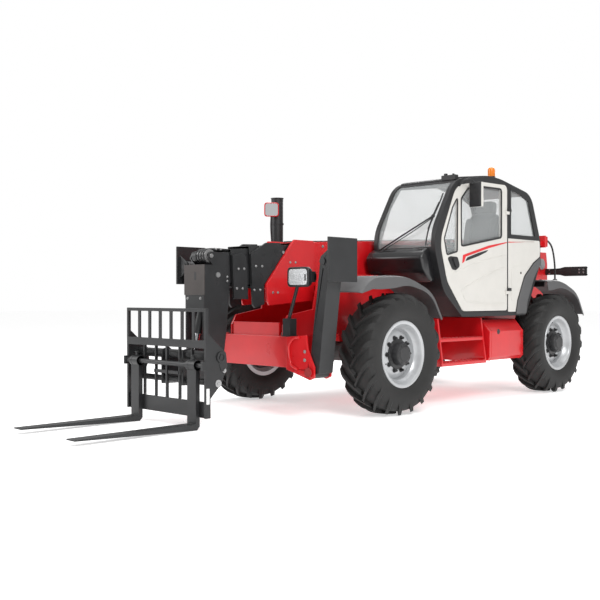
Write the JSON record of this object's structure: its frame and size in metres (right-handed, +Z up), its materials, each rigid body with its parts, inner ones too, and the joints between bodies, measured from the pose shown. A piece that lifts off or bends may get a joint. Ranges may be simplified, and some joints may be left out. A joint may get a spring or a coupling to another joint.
{
  "type": "telehandler",
  "caption": "Telescopic handler with a side cab, nested box boom, drop nose, fork carriage with hanging forks, front stabilisers and steered agricultural wheels.",
  "frame": {"origin": "on the ground under the middle of the overall box", "axes": "+Z up, the forks point along -Y, +X is the machine's left side with the cab"},
  "size_m": [2.472, 7.5243, 2.68],
  "materials": {
    "red_paint": "gloss",
    "dark_paint": "satin",
    "rim_paint": "satin",
    "panel_paint": "satin",
    "tyre": "matt",
    "rod_chrome": "polished",
    "axle_iron": "painted",
    "engine_iron": "plain",
    "black_plastic": "textured",
    "grey_plastic": "textured",
    "cab_glass": "clear",
    "seat_fabric": "woven",
    "lamp_plastic": "clear lens"
  },
  "bodies": {
    "chassis": {"chassis_frame": "red_paint", "front_beam": "red_paint", "front_axle": "axle_iron", "rear_axle": "axle_iron", "engine_block": "engine_iron", "engine_cowl": "dark_paint", "side_tank": "red_paint", "steps": "red_paint", "cab_shell": "dark_paint", "cab_roof": "dark_paint", "cab_glass": "cab_glass", "dash_cowl": "black_plastic", "seat": "seat_fabric", "steering_wheel": "black_plastic", "fenders": "grey_plastic", "lamps": "lamp_plastic", "cab_fittings": "lamp_plastic"},
    "door": {"cab_door": "panel_paint", "door_glass": "cab_glass"},
    "hood": {"engine_hood": "red_paint"},
    "boom": {"boom_outer": "red_paint"},
    "second": {"boom_second": "dark_paint"},
    "third": {"boom_third": "dark_paint"},
    "nose": {"boom_nose": "dark_paint"},
    "lift_barrel": {"lift_barrel": "dark_paint"},
    "lift_rod": {"lift_rod": "rod_chrome"},
    "tilt_barrel": {"tilt_barrel": "dark_paint"},
    "tilt_rod": {"tilt_rod": "rod_chrome"},
    "carriage": {"coupler": "dark_paint", "fork_carriage": "dark_paint"},
    "fork_left": {"fork_left": "dark_paint"},
    "fork_right": {"fork_right": "dark_paint"},
    "leg_left": {"stabiliser_leg_left": "dark_paint"},
    "leg_right": {"stabiliser_leg_right": "dark_paint"},
    "foot_left": {"stabiliser_foot_left": "dark_paint"},
    "foot_right": {"stabiliser_foot_right": "dark_paint"},
    "knuckle_front_left": {"knuckle_front_left": "axle_iron"},
    "wheel_front_left": {"rim_front_left": "rim_paint", "tyre_front_left": "tyre"},
    "knuckle_front_right": {"knuckle_front_right": "axle_iron"},
    "wheel_front_right": {"rim_front_right": "rim_paint", "tyre_front_right": "tyre"},
    "knuckle_rear_left": {"knuckle_rear_left": "axle_iron"},
    "wheel_rear_left": {"rim_rear_left": "rim_paint", "tyre_rear_left": "tyre"},
    "knuckle_rear_right": {"knuckle_rear_right": "axle_iron"},
    "wheel_rear_right": {"rim_rear_right": "rim_paint", "tyre_rear_right": "tyre"}
  },
  "joints": [
    {"name": "steer_front_left", "type": "hinge", "parent": "chassis", "child": "knuckle_front_left", "pos_m": [0.9, -0.475, 0.605], "axis": [0, 0, 1], "range_deg": [-35, 35]},
    {"name": "spin_front_left", "type": "hinge", "parent": "knuckle_front_left", "child": "wheel_front_left", "pos_m": [1.01, -0.475, 0.605], "axis": [1, 0, 0], "continuous": true},
    {"name": "steer_front_right", "type": "hinge", "parent": "chassis", "child": "knuckle_front_right", "pos_m": [-0.9, -0.475, 0.605], "axis": [0, 0, 1], "range_deg": [-35, 35]},
    {"name": "spin_front_right", "type": "hinge", "parent": "knuckle_front_right", "child": "wheel_front_right", "pos_m": [-1.01, -0.475, 0.605], "axis": [1, 0, 0], "continuous": true},
    {"name": "steer_rear_left", "type": "hinge", "parent": "chassis", "child": "knuckle_rear_left", "pos_m": [0.9, 2.595, 0.605], "axis": [0, 0, 1], "range_deg": [-35, 35]},
    {"name": "spin_rear_left", "type": "hinge", "parent": "knuckle_rear_left", "child": "wheel_rear_left", "pos_m": [1.01, 2.595, 0.605], "axis": [1, 0, 0], "continuous": true},
    {"name": "steer_rear_right", "type": "hinge", "parent": "chassis", "child": "knuckle_rear_right", "pos_m": [-0.9, 2.595, 0.605], "axis": [0, 0, 1], "range_deg": [-35, 35]},
    {"name": "spin_rear_right", "type": "hinge", "parent": "knuckle_rear_right", "child": "wheel_rear_right", "pos_m": [-1.01, 2.595, 0.605], "axis": [1, 0, 0], "continuous": true},
    {"name": "boom_lift", "type": "hinge", "parent": "chassis", "child": "boom", "pos_m": [0, 3.525, 1.62], "axis": [-1, 0, 0], "range_deg": [0, 65]},
    {"name": "telescope", "type": "slide", "parent": "boom", "child": "second", "axis": [0, -0.9986, -0.0523], "range_m": [0, 3.5]},
    {"name": "telescope_third", "type": "slide", "parent": "second", "child": "third", "axis": [0, -0.9986, -0.0523], "range_m": [0, 3.5]},
    {"name": "telescope_nose", "type": "slide", "parent": "third", "child": "nose", "axis": [0, -0.9986, -0.0523], "range_m": [0, 3.5]},
    {"name": "lift_barrel_pivot", "type": "hinge", "parent": "chassis", "child": "lift_barrel", "pos_m": [0, 2.975, 0.85], "axis": [-1, 0, 0], "range_deg": [-1, 63.17]},
    {"name": "lift_rod_slide", "type": "slide", "parent": "lift_barrel", "child": "lift_rod", "axis": [0, -0.9753, 0.2207], "range_m": [-0.005, 1.0173]},
    {"name": "carriage_tilt", "type": "hinge", "parent": "nose", "child": "carriage", "pos_m": [0, -2.035, 0.42], "axis": [1, 0, 0], "range_deg": [-10, 100]},
    {"name": "tilt_barrel_pivot", "type": "hinge", "parent": "nose", "child": "tilt_barrel", "pos_m": [0, -1.995, 1.38], "axis": [1, 0, 0], "range_deg": [-6, 6]},
    {"name": "tilt_rod_slide", "type": "slide", "parent": "tilt_barrel", "child": "tilt_rod", "axis": [0, -0.2316, -0.9728], "range_m": [-0.06, 0.42]},
    {"name": "fork_slide_left", "type": "slide", "parent": "carriage", "child": "fork_left", "axis": [1, 0, 0], "range_m": [-0.2, 0.07]},
    {"name": "fork_slide_right", "type": "slide", "parent": "carriage", "child": "fork_right", "axis": [-1, 0, 0], "range_m": [-0.2, 0.07]},
    {"name": "leg_swing_left", "type": "hinge", "parent": "chassis", "child": "leg_left", "pos_m": [0.86, -1.37, 0.47], "axis": [0, 1, 0], "range_deg": [0, 105]},
    {"name": "foot_swivel_left", "type": "hinge", "parent": "leg_left", "child": "foot_left", "pos_m": [1.03, -1.37, 1.5], "axis": [0, -1, 0], "range_deg": [0, 15]},
    {"name": "leg_swing_right", "type": "hinge", "parent": "chassis", "child": "leg_right", "pos_m": [-0.86, -1.37, 0.47], "axis": [0, -1, 0], "range_deg": [0, 105]},
    {"name": "foot_swivel_right", "type": "hinge", "parent": "leg_right", "child": "foot_right", "pos_m": [-1.03, -1.37, 1.5], "axis": [0, 1, 0], "range_deg": [0, 15]},
    {"name": "door_hinge", "type": "hinge", "parent": "chassis", "child": "door", "pos_m": [1.092, 1.581, 1.5], "axis": [0, 0, 1], "range_deg": [0, 100]},
    {"name": "hood_hinge", "type": "hinge", "parent": "chassis", "child": "hood", "pos_m": [-0.445, 1.025, 1.594], "axis": [0, 1, 0], "range_deg": [0, 65]}
  ],
  "couplings": [
    {"joint": "steer_front_right", "follows": "steer_front_left", "ratio": 1},
    {"joint": "steer_rear_right", "follows": "steer_rear_left", "ratio": 1},
    {"joint": "telescope_third", "follows": "telescope", "ratio": 1},
    {"joint": "telescope_nose", "follows": "telescope", "ratio": 1},
    {"joint": "lift_barrel_pivot", "follows": "boom_lift", "ratio": 0.94879},
    {"joint": "lift_rod_slide", "follows": "boom_lift", "m_per_rad": 0.88786},
    {"joint": "tilt_barrel_pivot", "follows": "carriage_tilt", "ratio": 0.02366},
    {"joint": "tilt_rod_slide", "follows": "carriage_tilt", "m_per_rad": 0.21846}
  ]
}
